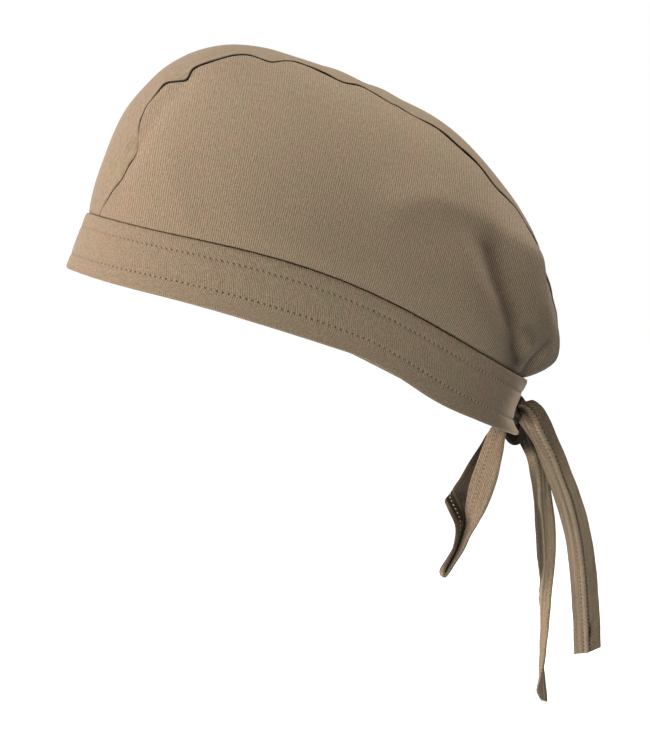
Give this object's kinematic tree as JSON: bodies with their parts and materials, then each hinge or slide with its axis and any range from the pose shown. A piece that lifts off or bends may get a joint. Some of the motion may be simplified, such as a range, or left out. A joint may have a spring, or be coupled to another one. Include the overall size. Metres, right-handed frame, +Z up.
{
  "type": "chef cap with back ties",
  "caption": "Close-fitting twill cloth chef cap with a centre panel front to back, two side panels, a stitched band and narrow ties knotted at the nape.",
  "frame": {"origin": "centre of the head opening at the level of the band's lower edge, where the cap sits on a head", "axes": "+Z up as worn, -Y to the front of the cap, +X to the wearer's left"},
  "size_m": [0.169, 0.2354, 0.2891],
  "materials": {
    "crown_cloth": "matt cotton twill",
    "band_cloth": "matt cotton twill, stitched in rows",
    "tie_cloth": "matt cotton twill tape"
  },
  "bodies": {
    "root": {"centre_panel": "crown_cloth", "side_panel_left": "crown_cloth", "side_panel_right": "crown_cloth", "band": "band_cloth", "tie_knot": "tie_cloth", "tie_left": "tie_cloth", "tie_right": "tie_cloth", "tie_tail_outer": "tie_cloth", "tie_tail_inner": "tie_cloth", "tie_loop": "tie_cloth"}
  },
  "joints": []
}
